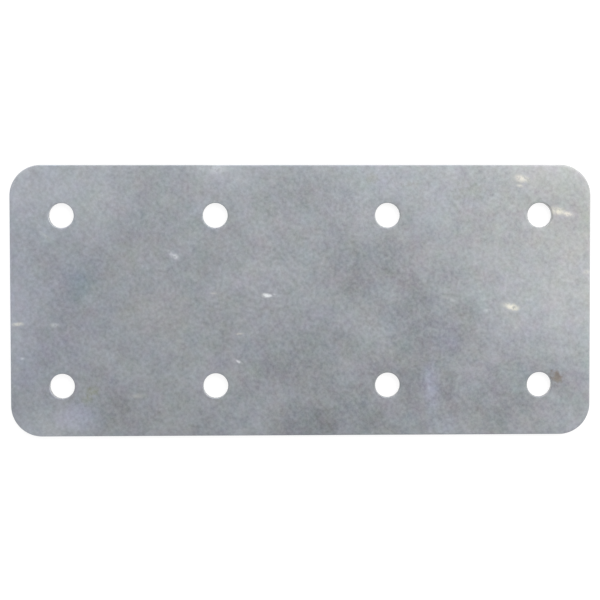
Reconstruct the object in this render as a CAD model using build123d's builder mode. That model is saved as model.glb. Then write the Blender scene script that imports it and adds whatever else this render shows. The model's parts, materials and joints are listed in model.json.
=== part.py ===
"""Flat mending plate for joining timber edge to edge.

One piece of zinc-coated sheet steel, blanked and pierced in a single press stroke. The plate lies
in the XY plane with its back face, the one that goes against the timber, on Z = 0. The front face
looks along +Z. The origin is the centre of the back face.
"""

import os

from build123d import *

# Blank, in millimetres
plate_length = 150.0  # along X
plate_width = 70.0  # along Y
plate_thickness = 2.0
corner_radius = 8.0

# Screw holes: two rows of four, the middle pair of columns closer together than the rest
hole_diameter = 6.4  # clearance for a 6 mm or 1/4 inch screw
end_margin = 13.2  # from an end of the plate to the centres of the nearest holes
side_margin = 13.0  # from a long side of the plate to the centres of the nearest row
middle_pitch = 44.5  # between the two middle columns

# Sheared edge, the same round the blank and in every hole. From front to back the punch leaves
# a rounded die roll, a straight burnished land, and a torn zone that falls away from the land.
die_roll_radius = 0.25
torn_zone_depth = 1.0  # up the wall from the back face
torn_zone_setback = 0.1  # how far the wall has fallen away where it meets the back face

end_column_pitch = plate_length - 2 * end_margin
row_pitch = plate_width - 2 * side_margin

with BuildPart() as mending_plate:
    # The blank
    with BuildSketch(Plane.XY):
        RectangleRounded(plate_length, plate_width, corner_radius)
    extrude(amount=plate_thickness)

    # The screw holes, pierced straight through
    for column_pitch in (end_column_pitch, middle_pitch):
        with GridLocations(column_pitch, row_pitch, 2, 2):
            Hole(hole_diameter / 2)

    # The torn zone, a steep bevel on every edge of the back face
    back_face = mending_plate.faces().sort_by(Axis.Z)[0]
    chamfer(
        back_face.edges(),
        length=torn_zone_setback,
        length2=torn_zone_depth,
        reference=back_face,
    )

    # The die roll, on every edge of the front face
    front_face = mending_plate.faces().sort_by(Axis.Z)[-1]
    fillet(front_face.edges(), die_roll_radius)

mending_plate.part.label = "mending_plate"

os.makedirs("parts", exist_ok=True)
export_step(mending_plate.part, "parts/mending_plate.step")
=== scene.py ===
# %% [markdown]
# # A zinc-coated mending plate
#
# A mending plate is about the plainest thing in a hardware shop: a strip of sheet steel with
# screw holes, laid across a joint in timber and screwed down. Nothing is bent and nothing moves,
# so all of its character is in two places: the dull, mottled zinc on its faces, and the edge that
# the press tool leaves when it shears the metal.
#
# The solid model already holds the sizes. It is loaded first as a fixed frame, and everything
# below reads its sizes from there, in metres.

import json

import bpy
import numpy as np
from mathutils import Matrix, Vector


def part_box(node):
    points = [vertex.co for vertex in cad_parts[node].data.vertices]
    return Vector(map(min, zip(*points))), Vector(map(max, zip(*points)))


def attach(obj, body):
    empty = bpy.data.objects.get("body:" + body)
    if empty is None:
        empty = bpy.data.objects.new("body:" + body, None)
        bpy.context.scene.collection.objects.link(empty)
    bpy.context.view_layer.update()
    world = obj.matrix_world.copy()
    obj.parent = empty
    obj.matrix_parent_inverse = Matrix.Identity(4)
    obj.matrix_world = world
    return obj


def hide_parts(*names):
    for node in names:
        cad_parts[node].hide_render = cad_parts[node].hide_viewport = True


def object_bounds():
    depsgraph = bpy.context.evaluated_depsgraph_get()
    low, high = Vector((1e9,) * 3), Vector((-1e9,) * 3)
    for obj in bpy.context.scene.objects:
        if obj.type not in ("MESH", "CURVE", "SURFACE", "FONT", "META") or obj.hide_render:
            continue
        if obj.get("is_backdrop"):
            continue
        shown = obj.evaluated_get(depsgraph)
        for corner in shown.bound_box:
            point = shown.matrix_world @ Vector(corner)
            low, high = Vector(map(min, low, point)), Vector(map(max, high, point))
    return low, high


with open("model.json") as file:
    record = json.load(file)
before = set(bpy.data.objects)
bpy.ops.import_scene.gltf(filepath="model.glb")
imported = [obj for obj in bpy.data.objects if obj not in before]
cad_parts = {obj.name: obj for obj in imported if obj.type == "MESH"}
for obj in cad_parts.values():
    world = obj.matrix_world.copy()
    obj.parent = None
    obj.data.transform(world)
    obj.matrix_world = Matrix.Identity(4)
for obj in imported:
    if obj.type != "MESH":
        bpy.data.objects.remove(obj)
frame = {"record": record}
cad_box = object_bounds()

MM = 0.001
low, high = (np.array(corner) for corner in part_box("mending_plate"))
half_length, half_width = (high - low)[:2] / 2
thickness = (high - low)[2]
print("plate", np.round((high - low) / MM, 2), "mm")

# %% [markdown]
# ## Where the holes are
#
# The record that comes with the solid names its mounts, the places where something fastens to
# it. Two of them are bolt patterns of four holes each: one near the ends and one in the middle.
# Both are centred on the plate, so a hole's centre in the quarter where x and y are positive is
# half of the pattern's spacing each way, and the other seven holes are its mirror images.

# %% Read the hole pattern
mounts = {mount["name"]: mount for mount in frame["record"]["mounts"]}


def quarter_hole(pattern):
    """Centre of the pattern's hole in the quarter x, y > 0: half the spacing along each axis."""
    dims = mounts[pattern]["dims"]
    return np.array([dims["spacing_x_mm"], dims["spacing_y_mm"]]) / 2 * MM


end_hole = quarter_hole("end_screw_holes")
middle_hole = quarter_hole("middle_screw_holes")
hole_radius = mounts["end_screw_holes"]["dims"]["hole_r_mm"] * MM
print("hole centres", end_hole / MM, middle_hole / MM, "radius", hole_radius / MM, "mm")

# %% [markdown]
# ## What a press tool does to an edge
#
# Blanking shears the sheet between a punch and a die, and every cut edge shows the same three
# bands. The sheet is first drawn down a little, which rounds the front edge: the **die roll**.
# Then the punch cuts a short straight wall and rubs it bright: the **burnished land**. At last
# the rest of the thickness snaps, and leaves a rough wall that falls away from the cut line: the
# **torn zone**. Where it ends, a fine **burr** stands up from the back face.
#
# Those bands are a profile, the same all round the plate and in every hole, so they are written
# once, as a distance into the metal from the cut line and a height above the bench.

# %% Sizes of the cut edge
corner_radius = 8 * MM
die_roll = 0.25 * MM  # radius of the rounded front edge
draw_in = 0.03 * MM  # how far the front face dips beside a cut
draw_in_reach = 0.7 * MM
torn_depth = 1.0 * MM  # height of the torn zone
torn_setback = 0.1 * MM  # how far it has fallen away at the back face
break_waver = 0.12 * MM  # how unevenly the torn zone begins
tear_relief = 0.03 * MM  # depth of the torn zone's roughness
burr = 0.03 * MM  # how far the burr stands past the back face
burr_reach = 0.25 * MM

ROLL_ROWS, LAND_ROWS, TORN_ROWS = 6, 3, 8

rng = np.random.default_rng(7)


def sum_of_waves(shortest, longest, count=40):
    """Returns f(points), a smooth random field of unit strength.

    It is the sum of `count` sine waves, each with its own direction in space, its own phase, and
    a wavelength picked evenly on a log scale between the shortest and the longest.
    """
    direction = rng.normal(size=(count, 3))
    direction /= np.linalg.norm(direction, axis=1, keepdims=True)
    wavelength = shortest * (longest / shortest) ** rng.random((count, 1))
    wave = 2 * np.pi * direction / wavelength
    phase = rng.random(count) * 2 * np.pi
    return lambda points: np.sin(points @ wave.T + phase).sum(axis=-1) * np.sqrt(2 / count)


waver = sum_of_waves(1.0 * MM, 6.0 * MM)
tear = sum_of_waves(0.2 * MM, 1.2 * MM)
print("rows in the cut edge's profile:", 1 + ROLL_ROWS + LAND_ROWS + TORN_ROWS)

# %% [markdown]
# ## The wall of a cut, carried along its line
#
# A wall is the profile above carried along a cut line. A line always runs with the metal on its
# left, counter-clockwise round the plate and clockwise round a hole. Then one function makes
# both, and its faces point out of the metal in both.
#
# The height at which the land gives way to the torn zone wavers along the line, and the torn
# zone is roughened by a second, finer field. Both fields depend on the place alone, so two
# stretches of wall that meet at a point agree there.


# %% Carry the profile along a line
def cut_wall(line, outward):
    """Grid of points, profile rows by points along the line, and how torn each row is.

    line: points on the cut line. outward: the unit direction out of the metal at each.
    point = line - inset * outward, at the row's height, where
      die roll:  inset = r (1 - sin a), height = front - r (1 - cos a), a from 0 to 90 degrees
      land:      inset = 0, height falling evenly to the break
      torn zone: inset grows evenly to the setback, plus a roughness that fades at both ends,
                 and never stands out past the cut line
    """
    place = np.column_stack([line, np.zeros(len(line))])
    front = thickness - draw_in
    wall_break = torn_depth + break_waver * waver(place) / 2

    angle = np.linspace(0, np.pi / 2, ROLL_ROWS + 1)[:, None]
    roll_inset = die_roll * (1 - np.sin(angle)) + 0 * wall_break
    roll_height = front - die_roll * (1 - np.cos(angle)) + 0 * wall_break

    down = np.linspace(0, 1, LAND_ROWS + 1)[1:, None]
    land_height = (front - die_roll) * (1 - down) + wall_break * down

    fallen = np.linspace(0, 1, TORN_ROWS + 1)[1:, None]
    torn_height = wall_break * (1 - fallen)
    spread = place + np.zeros((TORN_ROWS, 1, 1))
    spread[..., 2] = torn_height
    roughness = tear_relief * tear(spread) * np.sin(np.pi * fallen)
    torn_inset = np.maximum(torn_setback * fallen + roughness, 0)

    inset = np.vstack([roll_inset, 0 * land_height, torn_inset])
    height = np.vstack([roll_height, land_height, torn_height])
    grid = np.empty((*inset.shape, 3))
    grid[..., :2] = line - inset[..., None] * outward
    grid[..., 2] = height
    torn = np.repeat([0.0, 1.0], [1 + ROLL_ROWS + LAND_ROWS, TORN_ROWS])
    return grid, torn[:, None] + 0 * inset


print("torn zone starts", torn_depth / MM, "mm up, give or take", break_waver / 2 / MM, "mm")

# %% [markdown]
# ## Eight cells, one round each hole
#
# A flat face with holes has no single grid, but it falls apart into eight cells with one hole
# each, and a cell has one: rings that start as the hole's circle and end as the cell's border.
# Cells share their straight borders, so the points there are spaced the same from both sides,
# and the finished cells can be welded into one closed surface.
#
# Only two cells need describing, the end one and the middle one of a single quarter. The corner
# of the end cell is the plate's own rounded corner.

# %% Borders of the two kinds of cell
SPACING = 1.0 * MM  # between points on a border inside the plate
EDGE_SPACING = 0.5 * MM  # between points on the plate's own outline
ARC_POINTS = 32  # on a rounded corner
cell_split = (end_hole[0] + middle_hole[0]) / 2  # halfway between the two columns


def straight(start, end, spacing):
    """Points spaced evenly from start towards end, without end: start + t (end - start)."""
    start, end = np.array(start), np.array(end)
    count = round(np.linalg.norm(end - start) / spacing)
    return start + np.arange(count)[:, None] / count * (end - start)


def constant(points, value):
    """The same pair of numbers for each of the points."""
    return np.broadcast_to(np.array(value, float), points.shape)


def end_cell():
    """Counter-clockwise border of the end cell, and the way out of the metal at each point.

    It starts on the plate's end at y = 0 and runs up the end, round the corner, along the long
    side, and back inside the plate, where the way out is zero.
    """
    centre = np.array([half_length, half_width]) - corner_radius
    angle = np.arange(ARC_POINTS)[:, None] / ARC_POINTS * np.pi / 2
    round_way = np.hstack([np.cos(angle), np.sin(angle)])
    end = straight((half_length, 0), (half_length, centre[1]), EDGE_SPACING)
    corner = centre + corner_radius * round_way
    side = straight((centre[0], half_width), (cell_split, half_width), EDGE_SPACING)
    down = straight((cell_split, half_width), (cell_split, 0), SPACING)
    back = straight((cell_split, 0), (half_length, 0), SPACING)
    side = np.vstack([side, down[:1]])
    inner = np.vstack([down[1:], back])
    ways = [constant(end, (1, 0)), round_way, constant(side, (0, 1)), constant(inner, (0, 0))]
    return np.vstack([end, corner, side, inner]), np.vstack(ways)


def middle_cell():
    """Counter-clockwise border of the middle cell, and the way out of the metal at each point.

    It starts on the long side, and the other three sides lie inside the plate.
    """
    side = straight((cell_split, half_width), (0, half_width), EDGE_SPACING)
    down = straight((0, half_width), (0, 0), SPACING)
    back = straight((0, 0), (cell_split, 0), SPACING)
    up = straight((cell_split, 0), (cell_split, half_width), SPACING)
    side = np.vstack([side, down[:1]])
    inner = np.vstack([down[1:], back, up])
    return np.vstack([side, inner]), np.vstack([constant(side, (0, 1)), constant(inner, (0, 0))])


quarter_cells = [(end_hole, *end_cell()), (middle_hole, *middle_cell())]
print("points round a cell:", [len(border) for _, border, _ in quarter_cells])

# %% [markdown]
# ## The relief of the faces
#
# The faces are not quite flat beside a cut. The front dips towards it, where the punch drew the
# sheet down, and the back ends in the burr, so the plate really rests on a hair-thin rim. Both
# are functions of one number, the distance to the nearest cut, and that distance has a formula:
# for a hole it is the distance to its centre less its radius, and for a rectangle with rounded
# corners it is the corner radius less the distance to the rectangle of the corners' centres.

# %% Distance to the nearest cut, and the height of each face
SIGNS = [(x, y) for x in (1, -1) for y in (1, -1)]
hole_centres = np.array([hole * sign for sign in SIGNS for hole in (end_hole, middle_hole)])


def distance_to_cut(points):
    """Smaller of the distance to the outline and the distance to the nearest hole's wall.

    outline: q = |p| - (half size - corner radius);
             distance = corner radius - |the positive parts of q| - min(largest part of q, 0)
    holes:   min over the centres c of |p - c| - hole radius
    """
    q = np.abs(points) - (np.array([half_length, half_width]) - corner_radius)
    outside = np.linalg.norm(np.maximum(q, 0), axis=-1)
    outline = corner_radius - outside - np.minimum(q.max(axis=-1), 0)
    to_centres = np.linalg.norm(points[..., None, :] - hole_centres, axis=-1)
    return np.minimum(outline, to_centres.min(axis=-1) - hole_radius)


def front_height(points):
    """The front dips beside a cut: thickness - draw-in * exp(-(distance - die roll) / reach)."""
    past = np.maximum(distance_to_cut(points) - die_roll, 0)
    return thickness - draw_in * np.exp(-past / draw_in_reach)


def back_height(points):
    """The back lifts from the burr's tip: burr * (1 - exp(-(distance - setback) / reach))."""
    past = np.maximum(distance_to_cut(points) - torn_setback, 0)
    return burr * (1 - np.exp(-past / burr_reach))


middle = np.zeros((1, 2))
print("clear metal at the centre:", np.round(distance_to_cut(middle) / MM, 2), "mm from a cut")

# %% [markdown]
# ## One cell of a face
#
# A ring is a blend between the hole's rim and the cell's border, point by point along straight
# lines from the hole's centre. The rings crowd together at both ends, where the relief is, by a
# half turn of a cosine.

# %% Rings from a hole's rim to its cell's border
FRONT_RINGS, BACK_RINGS = 14, 8


def face_cell(centre, border, way, inset, rings, height):
    """Grid of points, rings by points round the cell.

    ring = rim (1 - s) + edge s, s = (1 - cos(pi k / rings)) / 2, where the rim lies `inset` past
    the hole's wall and the edge lies `inset` inside the outline.
    """
    spoke = border - centre
    spoke = spoke / np.linalg.norm(spoke, axis=1, keepdims=True)
    rim = centre + (hole_radius + inset) * spoke
    edge = border - inset * way
    s = (1 - np.cos(np.pi * np.arange(rings + 1) / rings))[:, None, None] / 2
    grid = np.empty((rings + 1, len(border), 3))
    grid[..., :2] = rim * (1 - s) + edge * s
    grid[..., 2] = height(grid[..., :2])
    return grid, spoke


print("rings on the front and the back:", FRONT_RINGS, BACK_RINGS)

# %% [markdown]
# ## Sewing the surface together
#
# Each part of the surface is a grid, so its faces follow from its shape alone: four neighbours
# in the grid are a quad. All grids are stacked into one list, and points that lie within a
# couple of micrometres of each other become one. A closed surface then uses every edge exactly
# twice, which is checked here, because a printed or simulated part needs it.

# %% Quads of a grid, and the weld
WELD = 1.7e-6  # metres


def quads(rows, columns, closed):
    """Corners of each quad of a grid, by their numbers in it, row after row.

    They run (row, column), (row + 1, column), (row + 1, column + 1), (row, column + 1). In a
    closed grid the last column is followed by the first.
    """
    row = np.arange(rows - 1)[:, None]
    column = np.arange(columns if closed else columns - 1)[None, :]
    after = (column + 1) % columns
    corners = (row * columns + column, (row + 1) * columns + column,
               (row + 1) * columns + after, row * columns + after)
    return np.stack(np.broadcast_arrays(*corners), axis=-1).reshape(-1, 4)


class Surface:
    """Collects grids and welds them."""

    def __init__(self):
        self.points, self.faces, self.torn, self.finish = [], [], [], []
        self.count = 0

    def add(self, grid, torn, finish, closed=True):
        """Adds a grid of points. finish is the number of the material slot for each quad."""
        rows, columns = grid.shape[:2]
        faces = quads(rows, columns, closed)
        self.points.append(grid.reshape(-1, 3))
        self.torn.append((torn + np.zeros((rows, columns))).ravel())
        self.faces.append(faces + self.count)
        per_row = len(faces) // (rows - 1)
        self.finish.append(np.repeat(finish + np.zeros(rows - 1, int), per_row))
        self.count += rows * columns

    def weld(self):
        """Points that round to the same step of WELD become one point."""
        points = np.vstack(self.points)
        steps = np.round(points / WELD).astype(np.int64)
        _, first, to = np.unique(steps, axis=0, return_index=True, return_inverse=True)
        faces = to.reshape(-1)[np.vstack(self.faces)]
        return points[first], faces, np.concatenate(self.torn)[first], np.concatenate(self.finish)


def open_edges(faces):
    """How many edges aren't shared by exactly two faces that run along it in opposite ways."""
    edges = np.stack([faces, np.roll(faces, -1, axis=1)], axis=-1).reshape(-1, 2)
    way = np.where(edges[:, 0] < edges[:, 1], 1, -1)
    _, which = np.unique(np.sort(edges, axis=1), axis=0, return_inverse=True)
    which = which.reshape(-1)
    return int(((np.bincount(which) != 2) | (np.bincount(which, way) != 0)).sum())


print("weld distance", WELD * 1e6, "micrometres")

# %% [markdown]
# ## The plate
#
# Each of the eight cells gives four pieces of surface: its part of the front, its part of the
# back, the wall of its hole, and its stretch of the plate's outline. Mirroring a cell turns its
# border round, so it is read backwards to run counter-clockwise again.
#
# Where a face meets a wall, its last ring is put at exactly the height at which the wall begins or
# ends, so that the weld finds them together.
#
# The zinc skin covers both faces and follows the sheet over the die roll, because the sheet was
# coated before it was cut. Below that, the wall is bare steel with a smear of zinc, and it has a
# finish of its own.

# %% Build the plate's mesh
ZINC, SHEARED = 0, 1  # material slots, in the order in which the finishes are made below
SHARP_ANGLE = 40  # degrees; an edge that bends more is shaded as an edge
wall_finish = np.repeat([ZINC, SHEARED], [ROLL_ROWS, LAND_ROWS + TORN_ROWS])
surface = Surface()

for sign in SIGNS:
    for hole, quarter_border, quarter_way in quarter_cells:
        turn = 1 if sign[0] * sign[1] > 0 else -1
        border, way = (part[::turn] * sign for part in (quarter_border, quarter_way))
        centre = hole * sign
        front, spoke = face_cell(centre, border, way, die_roll, FRONT_RINGS, front_height)
        back, _ = face_cell(centre, border, way, torn_setback, BACK_RINGS, back_height)
        on_outline = np.linalg.norm(way, axis=1) > 0.5
        front[0, :, 2] = thickness - draw_in
        front[-1, on_outline, 2] = thickness - draw_in
        back[0, :, 2] = 0
        back[-1, on_outline, 2] = 0
        surface.add(front, 0, ZINC)
        surface.add(back[::-1], 1, ZINC)
        wall, torn = cut_wall((centre + hole_radius * spoke)[::-1], -spoke[::-1])
        surface.add(wall, torn, wall_finish)
        wall, torn = cut_wall(border[on_outline], way[on_outline])
        surface.add(wall, torn, wall_finish, closed=False)

points, faces, torn, finish = surface.weld()
mesh = bpy.data.meshes.new("plate")
mesh.from_pydata(points, [], faces)
mesh.polygons.foreach_set("material_index", finish)
mesh.shade_smooth()
mesh.set_sharp_from_angle(angle=np.radians(SHARP_ANGLE))
mesh.attributes.new("torn", "FLOAT", "POINT").data.foreach_set("value", torn)
mesh.update()

plate = bpy.data.objects.new("plate", mesh)
bpy.context.scene.collection.objects.link(plate)
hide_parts("mending_plate")
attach(plate, "root")
print("points", len(points), "triangles", 2 * len(faces), "open edges", open_edges(faces))

# %% [markdown]
# ## Working with shader nodes
#
# A material here is a tree of nodes, and a tree reads best when each node takes one line. This
# helper makes a node, sets its menus, and either fills in an input or links it to another node's
# output.


# %% A short way to write a node
class Tree:
    """A material's node tree with one-line nodes. A value that is a socket gets linked."""

    def __init__(self, name):
        self.material = bpy.data.materials.new(name)
        self.material.use_nodes = True
        self.nodes = self.material.node_tree.nodes
        self.links = self.material.node_tree.links
        self.nodes.clear()

    def node(self, kind, inputs=None, **menus):
        made = self.nodes.new("ShaderNode" + kind)
        for menu, choice in menus.items():
            setattr(made, menu, choice)
        for socket, value in (inputs or {}).items():
            if isinstance(value, bpy.types.NodeSocket):
                self.links.new(value, made.inputs[socket])
            else:
                made.inputs[socket].default_value = value
        return made

    def math(self, operation, a, b=0.0):
        return self.node("Math", {0: a, 1: b}, operation=operation).outputs[0]

    def add_up(self, values):
        """Sum of several outputs or numbers."""
        total = values[0]
        for value in values[1:]:
            total = self.math("ADD", total, value)
        return total

    def noise(self, vector, size, detail=2.0, roughness=0.5):
        """Noise whose patches are about `size` metres across."""
        inputs = {"Vector": vector, "Scale": 1 / size, "Detail": detail, "Roughness": roughness}
        return self.node("TexNoise", inputs)

    def swing(self, value, amount):
        """A noise value, which hangs about 0.5, as a change of up to half of amount each way."""
        return self.math("MULTIPLY", self.math("SUBTRACT", value, 0.5), amount)

    def mix(self, factor, a, b):
        """Colour a where the factor is 0, b where it is 1."""
        inputs = {"Factor": factor, "A": a, "B": b}
        mixed = self.node("Mix", data_type="RGBA")
        for name, value in inputs.items():
            socket = next(s for s in mixed.inputs if s.name == name and s.enabled)
            if isinstance(value, bpy.types.NodeSocket):
                self.links.new(value, socket)
            else:
                socket.default_value = value
        return next(s for s in mixed.outputs if s.enabled)

    def finish(self, shader):
        self.node("OutputMaterial", {"Surface": shader})
        return self.material


print("node helper ready")

# %% [markdown]
# ## Clouds and marks on the zinc
#
# Broad clouds on the front are paler or darker than the rest. Both ends and the far side are
# paler, the near side and the part right of the middle are darker, and the grey is a little warm
# at the right end and a little cool at the left. The paler far side, the darker near side and part
# of the paler, warmer right end are painted light and shade, which carry on the lamps' broad
# reflections; the other clouds are patches of uneven tone. The plate has also been in a bin with
# others. A few rubs have left pale streaks of zinc dust, a few thin scratches show dark, and
# faint brown and yellowish stains sit beside holes.
#
# A cloud and a mark are the same thing, a soft ellipse, so all are written as lists: where it
# lies, how long and wide it is, how it is turned, and how strong it is. A cloud's strength is
# the share by which it lightens the zinc, or darkens it below zero. A mark's strength is how
# much of its own colour covers the zinc.

# %% The clouds and marks, in millimetres and degrees
# x, y, length, width, turn, strength
LIGHT_AND_TONE_CLOUDS = [
    # Painted light and shade: the far side painted paler and the near side painted darker.
    (0, 46, 200, 70, 0, 0.12),
    (0, -48, 190, 64, 0, -0.11),
    (-75, 30, 62, 60, -25, 0.20),
    (-66, -34, 30, 20, 0, 0.22),
    (-54, 26, 36, 34, 0, 0.15),
    (-78, -5, 30, 48, 0, 0.28),
    (-19, 34, 26, 18, 0, 0.15),
    (22, 32, 34, 18, 0, 0.03),
    # Partly painted light: these paint the right end paler, carrying on the lamps' reflection, and
    # partly uneven tone.
    (64, 36, 36, 22, 0, 0.12),
    (67, 3, 46, 46, 0, 0.12),
    (-10, 5, 30, 20, 0, 0.06),
    (-35, -5, 34, 20, 0, 0.08),
    (0, 27, 40, 26, 0, -0.11),
    (16, 8, 34, 40, 0, -0.10),
    (32, -12, 42, 48, 0, -0.20),
    (27, 9, 34, 28, 0, -0.10),
    (0, -17, 48, 34, 0, -0.12),
    (20, -28, 54, 28, 0, -0.10),
    (-4, -33, 30, 18, 0, -0.21),
    (-47, -28, 24, 22, 0, -0.11),
    (56, -24, 46, 34, 0, -0.14),
]
WARM_TONE_AND_REFLECTION = [
    # Partly a painted reflection: the warmer tint at the right end, where the lamps' reflection
    # lies, and partly warmer tone.
    (76, 24, 100, 90, 0, 1.0),
    (-38, -4, 34, 18, 0, 0.5),
]
COOL_BLOOM = [
    (-74, -2, 74, 100, 0, 1.0),
]
CREAM_RUBS = [
    (57.0, 31.5, 6.0, 3.0, -12, 0.75),
    (56.6, 29.6, 3.0, 1.2, -10, 0.45),
    (66.4, 23.0, 6.6, 3.2, -8, 0.85),
    (69.2, 22.2, 4.6, 2.2, -10, 0.85),
    (54.2, -1.8, 6.0, 2.6, -14, 0.9),
    (-73.2, -5.9, 5.0, 1.4, 4, 0.45),
    (-16.3, -8.6, 4.0, 1.0, 4, 0.45),
    (74.0, 7.2, 3.4, 1.8, 0, 0.35),
    (-22.8, 1.9, 3.4, 1.0, 0, 0.25),
    (-43.0, -24.6, 8.0, 2.2, 0, 0.22),
    (-66.0, 17.0, 6.0, 1.6, -40, 0.16),
]
WHITE_RUBS = [
    (-9.2, 1.3, 2.8, 1.4, -4, 0.95),
    (-7.4, 1.4, 3.0, 1.1, 14, 0.5),
    (-32.6, 11.4, 3.4, 2.2, -30, 0.6),
    (-33.8, 12.4, 3.0, 1.4, -40, 0.3),
    (-16.4, -15.8, 3.0, 0.9, -28, 0.7),
    (-63.5, -6.2, 3.6, 1.8, 0, 0.35),
    (-72.0, -14.8, 1.8, 1.2, 0, 0.35),
    (-21.7, 33.9, 7.0, 4.0, 8, 0.22),
    (48.0, -2.7, 4.0, 1.6, 0, 0.25),
    (39.0, 0.0, 5.0, 1.6, -20, 0.22),
    (37.0, 2.0, 8.0, 6.0, 0, 0.08),
]
BROWN_STAINS = [
    (66.5, -20.2, 3.6, 4.8, 25, 0.7),
    (27.9, 30.1, 6.2, 3.2, 0, 0.2),
]
OLIVE_STAINS = [
    (-54.0, -23.5, 5.4, 4.0, 20, 0.55),
    (-55.8, -25.6, 4.6, 3.0, 10, 0.3),
    (44.0, 28.0, 12.0, 6.0, 0, 0.2),
    (18.5, 31.5, 4.0, 3.4, 0, 0.25),
]
SCRATCHES = [
    (-28.0, -32.4, 10.0, 1.0, -8, 0.5),
    (-38.0, -29.6, 5.0, 0.9, 35, 0.45),
    (10.5, -23.8, 13.0, 0.9, -4, 0.45),
    (8.0, -28.2, 9.0, 1.0, 14, 0.4),
]
BLUE_PATCHES = [
    (-57.4, 4.2, 11.0, 16.0, 0, 0.6),
    (-57.0, 10.0, 14.0, 24.0, 0, 0.3),
]
PALE_PATCHES = [
    (33.6, -23.0, 6.6, 32.0, 2, 1.0),
    (37.0, -33.0, 9.0, 9.0, 0, 0.6),
    (37.0, -11.0, 14.0, 16.0, 0, 0.3),
    (-58.0, -30.0, 15.0, 11.0, 0, 0.95),
]
marks = CREAM_RUBS + WHITE_RUBS + BROWN_STAINS + OLIVE_STAINS + SCRATCHES
marks += BLUE_PATCHES + PALE_PATCHES
print(len(LIGHT_AND_TONE_CLOUDS), "clouds and", len(marks), "marks")

# %% [markdown]
# ## Noises, from a wide haze down to dust
#
# Sheet that was hot-dipped or plated like this has no sparkle and no visible crystals. Its
# blue-grey still varies at every size at once: a haze some centimetres wide, blots, flecks, a
# fine grain of about a millimetre, and dust finer than that. Each is a noise of its own, and has
# a swing of its own by which it lightens and darkens the zinc, because one noise with a lot of
# detail gives every size the same look. One more noise, a coloured one, lets the grey drift
# between blue, green and pink.
#
# The noises read Object coordinates, with two changes. Height is stretched, so that the front
# and the back don't show the same pattern. And the whole pattern is shifted and turned: a noise
# is built on a grid of cubes, all grids start at the object's origin, and along their shared
# planes they would draw a faint cross through the middle of the plate.

# %% The noises
# patch size in millimetres, detail, roughness of the detail, swing of the lightness
NOISES = {
    "haze": (34, 1.0, 0.5, 0.12),
    "blots": (10, 2.0, 0.5, 0.19),
    "flecks": (2.6, 1.0, 0.5, 0.28),
    "grain": (0.95, 1.0, 0.6, 0.48),
    "dust": (0.25, 2.0, 0.5, 0.22),
}
HUE_PATCH = 6 * MM
HUE_DRIFT = (0.078, 0.078, 0.095)  # for a full swing of the hue's noise in red, green and blue
PATTERN_SHIFT = (5.9 * MM, 33.1 * MM, 7.3 * MM)
PATTERN_TURN = 52  # degrees about the height
HEIGHT_STRETCH = 40


def noise_fields(tree, place):
    """Value of each noise at a place, by its name, and the colour of the hue's noise."""
    pattern = {
        "Vector": place,
        "Location": PATTERN_SHIFT,
        "Rotation": (0, 0, np.radians(PATTERN_TURN)),
        "Scale": (1, 1, HEIGHT_STRETCH),
    }
    apart = tree.node("Mapping", pattern).outputs[0]
    field = {
        name: tree.noise(apart, size * MM, detail, roughness).outputs[0]
        for name, (size, detail, roughness, _) in NOISES.items()
    }
    field["hue"] = tree.noise(apart, HUE_PATCH, 4.0, 0.75).outputs["Color"]
    return field


print("noises:", ", ".join(f"{name} {size} mm" for name, (size, *_) in NOISES.items()))

# %% [markdown]
# ## One soft ellipse
#
# A Mapping node of the kind TEXTURE undoes a move, a turn and a scale. It turns the ellipse into a
# circle of radius 1 about the origin, so a point's distance to the origin tells how far out in the
# ellipse it lies. A noise is added to that distance, and the border frays.

# %% A mask for one cloud or mark
def mark_mask(tree, place, fray, mark, softness):
    """How strongly one mark covers a point: 0 outside its ellipse, its strength deep inside.

    radius = |place, moved, turned and scaled back| + fray, and the mask climbs smoothly from 0
    at radius 1 to the mark's strength at radius 1 - softness.
    """
    x, y, length, width, turn, strength = mark
    inputs = {
        "Vector": place,
        "Location": (x * MM, y * MM, 0),
        "Rotation": (0, 0, np.radians(turn)),
        "Scale": (length / 2 * MM, width / 2 * MM, 1),
    }
    local = tree.node("Mapping", inputs, vector_type="TEXTURE").outputs[0]
    radius = tree.node("VectorMath", {0: local}, operation="LENGTH").outputs["Value"]
    frayed = tree.math("ADD", radius, fray)
    fall = {"Value": frayed, "From Min": 1.0, "From Max": 1.0 - softness, "To Max": strength}
    return tree.node("MapRange", fall, interpolation_type="SMOOTHSTEP").outputs[0]


longest = max(marks, key=lambda mark: mark[2])
print("longest mark:", longest[2], "mm, at", longest[:2])

# %% [markdown]
# ## Colours of the marks
#
# The zinc's base colour comes from the record. Stains, scratches and the drift towards warm or
# cool are that same grey, darkened or tinted, since the zinc shows through them. Rubbed-off dust
# hides the grey, so its two colours are given in full.

# %% Colours
BASE = np.array(frame["record"]["materials"][0]["base_color"])


def shade(factor, tint=(1, 1, 1)):
    """The base colour, lightened by the factor and tinted, as a socket wants it."""
    return (*np.clip(BASE * factor * np.array(tint), 0, 1), 1.0)


ZINC_GREY = shade(1.015, (1.0, 1.0, 1.01))
CREAM = (0.70, 0.68, 0.59, 1)
WHITE = (0.72, 0.75, 0.77, 1)
BROWN = shade(0.80, (1.0, 0.78, 0.58))
OLIVE = shade(0.92, (0.98, 1.0, 0.68))
BLUE = shade(0.84, (0.91, 0.99, 1.09))
PALE = shade(1.17, (1.0, 0.99, 1.10))
# Warm tint; at the right end it is partly a painted reflection of the lamps.
WARM = shade(1.0, (1.035, 1.01, 0.96))
COOL = shade(1.0, (0.98, 0.985, 1.05))
SCRATCHED = shade(0.84, (1.03, 1.0, 0.97))
print("zinc grey", np.round(ZINC_GREY[:3], 3))

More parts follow.
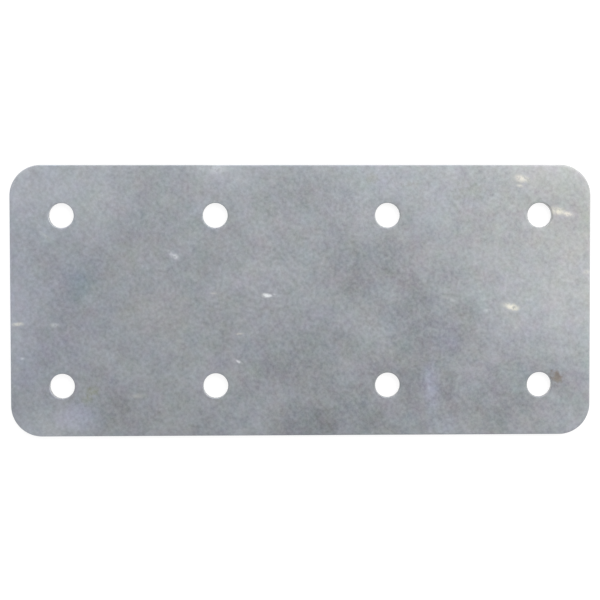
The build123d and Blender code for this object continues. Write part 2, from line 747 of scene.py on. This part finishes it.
# %% [markdown]
# ## Laying the marks over the grey
#
# The marks are mixed over the base colour one kind after another, from the widest and faintest to
# the small bright rubs. They lie on the front only. Stains, scratches and rubs have a border that
# the finer noises fray, and the wide patches one that the blots push in and out. A rub also breaks
# up over the grain, because whatever rubbed there touched the high spots only.

# %% Marks over the base colour
FADE = 0.9  # share of a mark's radius over which it fades in
FLECK_FRAY, GRAIN_FRAY, BLOT_FRAY = 1.0, 1.2, 1.2  # swing of a border, in radii
WORN_LOW, WORN_HIGH = 0.36, 0.50  # a rub is thinnest where the grain is below the first value
WORN_LEAST = 0.35  # what is left of it there; above the second value it is whole


def with_marks(tree, place, on_front, field):
    """Colour of the marked zinc, and how much dust lies on it, from 0 to 1."""
    flecks = tree.swing(field["flecks"], FLECK_FRAY)
    fine = tree.math("ADD", flecks, tree.swing(field["grain"], GRAIN_FRAY))
    broad = tree.swing(field["blots"], BLOT_FRAY)
    worn = {"Value": field["grain"], "From Min": WORN_LOW, "From Max": WORN_HIGH}
    worn = tree.node("MapRange", {**worn, "To Min": WORN_LEAST}).outputs[0]
    layers = (
        (WARM_TONE_AND_REFLECTION, WARM, 0.0, 1.0),
        (COOL_BLOOM, COOL, 0.0, 1.0),
        (BLUE_PATCHES, BLUE, broad, FADE),
        (PALE_PATCHES, PALE, broad, FADE),
        (OLIVE_STAINS, OLIVE, fine, FADE),
        (SCRATCHES, SCRATCHED, fine, FADE),
        (BROWN_STAINS, BROWN, fine, FADE),
        (CREAM_RUBS, CREAM, fine, FADE),
        (WHITE_RUBS, WHITE, fine, FADE),
    )
    colour = ZINC_GREY
    dusty = []
    for listed, paint, fray, softness in layers:
        masks = [mark_mask(tree, place, fray, mark, softness) for mark in listed]
        mask = tree.math("MULTIPLY", tree.add_up(masks), on_front)
        if paint in (CREAM, WHITE):
            mask = tree.math("MULTIPLY", mask, worn)
            dusty.append(mask)
        colour = tree.mix(mask, colour, paint)
    return colour, tree.math("MINIMUM", tree.add_up(dusty), 1.0)


print("a mark fades in over", FADE, "of its radius")

# %% [markdown]
# ## The zinc skin
#
# The colour of grey and marks is multiplied by one lightness, 1 plus the clouds plus the swing of
# each noise, and the drift of hue is added to that. Some clouds are painted light and shade: a
# paler far side and right end and a darker near side. The coat is dull metal. Where rubbed-off
# dust lies it is rougher and much less like metal. The finer noises also stand up as a relief of
# hundredths of a millimetre, too fine for the mesh, so that is a bump.

# %% Make the zinc skin
CLOUD_FRAY = 0.5  # swing of a cloud's border, in radii
ROUGHNESS, DUST_ROUGHNESS = 0.42, 0.25  # of the clean coat, and what dust adds
ROUGHNESS_SWINGS = {"blots": 0.12, "grain": 0.10}
METAL, DUST_DULLING = 0.8, 0.6  # how metallic the clean coat is, and what dust takes away
RELIEF_PARTS = {"grain": 1.0, "flecks": 1.5, "dust": 0.5}
RELIEF_DEPTH, RELIEF_STRENGTH = 0.02 * MM, 0.35


def zinc_skin():
    """Dull zinc: marked colour x (1 + clouds + noises) + drift of hue."""
    tree = Tree("zinc_skin")
    place = tree.node("TexCoord").outputs["Object"]
    height = tree.node("SeparateXYZ", {0: place}).outputs["Z"]
    on_front = tree.math("GREATER_THAN", height, thickness / 2)
    field = noise_fields(tree, place)
    colour, dusty = with_marks(tree, place, on_front, field)

    # The clouds hold painted light and shade (a paler far side and right end, a darker near side)
    # beside uneven tone.
    border = tree.swing(field["blots"], CLOUD_FRAY)
    light_and_tone_clouds = [mark_mask(tree, place, border, cloud, 1.0) for cloud in LIGHT_AND_TONE_CLOUDS]
    light_and_tone_clouds = tree.math("MULTIPLY", tree.add_up(light_and_tone_clouds), on_front)
    swings = [tree.swing(field[name], share) for name, (*_, share) in NOISES.items()]
    light = tree.add_up([light_and_tone_clouds, 1.0, *swings])
    colour = tree.node("VectorMath", {0: colour, "Scale": light}, operation="SCALE").outputs[0]
    drift = {0: field["hue"], 1: (0.5, 0.5, 0.5)}
    drift = tree.node("VectorMath", drift, operation="SUBTRACT").outputs[0]
    drift = {0: drift, 1: HUE_DRIFT, 2: colour}
    colour = tree.node("VectorMath", drift, operation="MULTIPLY_ADD").outputs[0]

    swings = [tree.swing(field[name], amount) for name, amount in ROUGHNESS_SWINGS.items()]
    roughness = tree.add_up([ROUGHNESS, *swings, tree.math("MULTIPLY", dusty, DUST_ROUGHNESS)])
    metallic = tree.math("SUBTRACT", METAL, tree.math("MULTIPLY", dusty, DUST_DULLING))
    relief = [tree.math("MULTIPLY", field[name], part) for name, part in RELIEF_PARTS.items()]
    normal = tree.node("Bump", {
        "Height": tree.add_up(relief), "Strength": RELIEF_STRENGTH, "Distance": RELIEF_DEPTH,
    })
    surface = tree.node("BsdfPrincipled", {
        "Base Color": colour, "Metallic": metallic, "Roughness": roughness,
        "Normal": normal.outputs[0],
    })
    return tree.finish(surface.outputs[0])


plate.data.materials.append(zinc_skin())
print("zinc skin:", len(plate.data.materials[0].node_tree.nodes), "nodes")

# %% [markdown]
# ## The sheared edge
#
# The land is rubbed bright, with fine lines dragged down it by the punch, and the torn zone is
# darker and crumbly, because it broke and wasn't cut. The mesh knows which is which: it carries
# the attribute `torn`, 0 above the break and 1 below. The drag lines are a noise that is
# stretched along the height, so it hardly changes from the front to the back.

# %% Make the sheared edge
STREAK_DARK, STREAK_BRIGHT = (0.30, 0.31, 0.32, 1), (0.56, 0.57, 0.58, 1)
TEAR_DARK, TEAR_BRIGHT = (0.12, 0.12, 0.125, 1), (0.34, 0.34, 0.34, 1)
DRAG_SIZE, CRUMB_SIZE = 0.12 * MM, 0.22 * MM
DRAG_STRETCH = 0.06  # how fast the drag lines change down the wall, against along it
LAND_ROUGHNESS, TORN_ROUGHNESS = 0.26, 0.30  # of the land, and what the torn zone adds
DRAG_RELIEF = 0.25  # depth of the drag lines, as a share of the crumbs'


def sheared_edge():
    """Bare steel: bright and streaked on the land, dark and rough in the torn zone."""
    tree = Tree("sheared_edge")
    place = tree.node("TexCoord").outputs["Object"]
    torn = tree.node("Attribute", attribute_name="torn").outputs["Fac"]
    down = tree.node("Mapping", {"Vector": place, "Scale": (1, 1, DRAG_STRETCH)}).outputs[0]
    drag = tree.noise(down, DRAG_SIZE, 2.0).outputs[0]
    crumbs = tree.noise(place, CRUMB_SIZE, 3.0, 0.65).outputs[0]
    land = tree.mix(drag, STREAK_DARK, STREAK_BRIGHT)
    tear = tree.mix(crumbs, TEAR_DARK, TEAR_BRIGHT)
    colour = tree.mix(torn, land, tear)
    rough_land = tree.math("ADD", LAND_ROUGHNESS, tree.swing(drag, 0.15))
    roughness = tree.math("ADD", rough_land, tree.math("MULTIPLY", torn, TORN_ROUGHNESS))
    crumble = tree.math("MULTIPLY", crumbs, torn)
    height = tree.math("ADD", tree.math("MULTIPLY", drag, DRAG_RELIEF), crumble)
    normal = tree.node("Bump", {"Height": height, "Strength": 0.6, "Distance": 0.05 * MM})
    surface = tree.node("BsdfPrincipled", {
        "Base Color": colour, "Metallic": 0.9, "Roughness": roughness, "Normal": normal.outputs[0],
    })
    return tree.finish(surface.outputs[0])


plate.data.materials.append(sheared_edge())
print("materials:", [material.name for material in plate.data.materials])

# %% [markdown]
# ## Bench, sky and lamps
#
# The plate lies on a white bench under an even sky. One large soft lamp stands on the far side
# and a smaller, slightly warm one on the right, both above it. Their broad reflections in the dull
# zinc make the far edge and the right end a little lighter, and the clouds in the zinc take that
# further as painted light and shade. The sky is white to the camera alone, and the bench to the
# camera and in reflections.
# A part of the bench's white is a plain matt surface, so it still takes the plate's soft shadow.

# %% Bench and sky
SKY = 0.65  # strength of the sky's light on the plate
BENCH_SIZE = 6.0  # metres
BENCH_LIT = 0.8  # share of its light that the bench throws back at the plate
BENCH_GLOW, BENCH_THIN = 0.84, 0.25  # to a seen ray: a white of its own, and a matt part


def seen(tree):
    """1 for rays that come from the camera, from a reflection or through glass, else 0."""
    path = tree.node("LightPath").outputs
    rays = ("Is Camera Ray", "Is Glossy Ray", "Is Transmission Ray")
    return tree.math("MINIMUM", tree.add_up([path[ray] for ray in rays]), 1.0)


def bench_white():
    """Matt white, and to a seen ray mostly a white of its own, with a thinner matt part."""
    tree = Tree("bench_white")
    matt = tree.node("BsdfDiffuse", {"Color": (BENCH_LIT, BENCH_LIT, BENCH_LIT, 1)}).outputs[0]
    thin = tree.node("BsdfDiffuse", {"Color": (BENCH_THIN, BENCH_THIN, BENCH_THIN, 1)}).outputs[0]
    glow = tree.node("Emission", {"Strength": BENCH_GLOW}).outputs[0]
    shown = tree.node("AddShader", {0: thin, 1: glow}).outputs[0]
    return tree.finish(tree.node("MixShader", {0: seen(tree), 1: matt, 2: shown}).outputs[0])


bpy.ops.mesh.primitive_plane_add(size=BENCH_SIZE)
bench = bpy.context.object
bench.name = "bench"
bench.data.materials.append(bench_white())
bench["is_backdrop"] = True

world = bpy.data.worlds.new("sky")
bpy.context.scene.world = world
world.use_nodes = True
background = world.node_tree.nodes["Background"]
path = world.node_tree.nodes.new("ShaderNodeLightPath")
strength = world.node_tree.nodes.new("ShaderNodeMapRange")
strength.inputs["To Min"].default_value = SKY
strength.inputs["To Max"].default_value = 1.0
world.node_tree.links.new(path.outputs["Is Camera Ray"], strength.inputs["Value"])
world.node_tree.links.new(strength.outputs[0], background.inputs["Strength"])
background.inputs["Color"].default_value = (1, 1, 1, 1)
print("sky strength", SKY)


# %% Lamps
def soft_lamp(name, place, width, height, power, colour):
    """A rectangular area lamp that faces the middle of the plate."""
    light = bpy.data.lights.new(name, "AREA")
    light.shape = "RECTANGLE"
    light.size, light.size_y = width, height
    light.energy, light.color = power, colour
    lamp = bpy.data.objects.new(name, light)
    lamp.location = place
    lamp.rotation_euler = (-Vector(place)).to_track_quat("-Z", "Y").to_euler()
    bpy.context.scene.collection.objects.link(lamp)
    return lamp


key = soft_lamp("key", (0.0, 0.45, 0.35), 0.90, 0.50, 2.0, (1.0, 1.0, 1.0))
fill = soft_lamp("fill", (0.30, 0.15, 0.30), 0.40, 0.40, 0.9, (1.0, 0.98, 0.94))
print("lamps", [round(lamp.data.energy, 2) for lamp in (key, fill)], "W")

# %% [markdown]
# ## The camera
#
# The camera looks down on the plate, almost square on. It stands a little to the left and
# towards the far side, and the lens is long, so the plate is a rectangle with only a hint of
# perspective. Its three directions are worked out one from another: back, from the aim to the
# camera, then right, square to that and to the plate's width, and then up. A small roll follows.

# %% Camera
camera_data = bpy.data.cameras.new("camera")
camera_data.lens = 85
camera_data.sensor_width = 36
camera = bpy.data.objects.new("camera", camera_data)
bpy.context.scene.collection.objects.link(camera)
camera_place = Vector((-10.2, 11.8, 367.9)) * MM
aim = Vector((-0.43, 0.12, thickness / MM)) * MM
roll = np.radians(-0.10)
back = (camera_place - aim).normalized()
right = Vector((0, 1, 0)).cross(back).normalized()
turned = Matrix((right, back.cross(right), back)).transposed().to_4x4()
camera.matrix_world = Matrix.Translation(camera_place) @ turned @ Matrix.Rotation(roll, 4, "Z")
bpy.context.scene.camera = camera
bpy.context.scene.view_settings.view_transform = "Standard"
print("camera", [round(value / MM, 1) for value in camera.location], "mm")

# %% [markdown]
# ## Size
#
# The box of the finished plate is printed beside the solid's.

# %% Print both boxes
bpy.context.view_layer.update()
boxes = {"cad": cad_box, "visual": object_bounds()}
boxes = {name: [list(corner) for corner in box] for name, box in boxes.items()}
print("size", boxes)
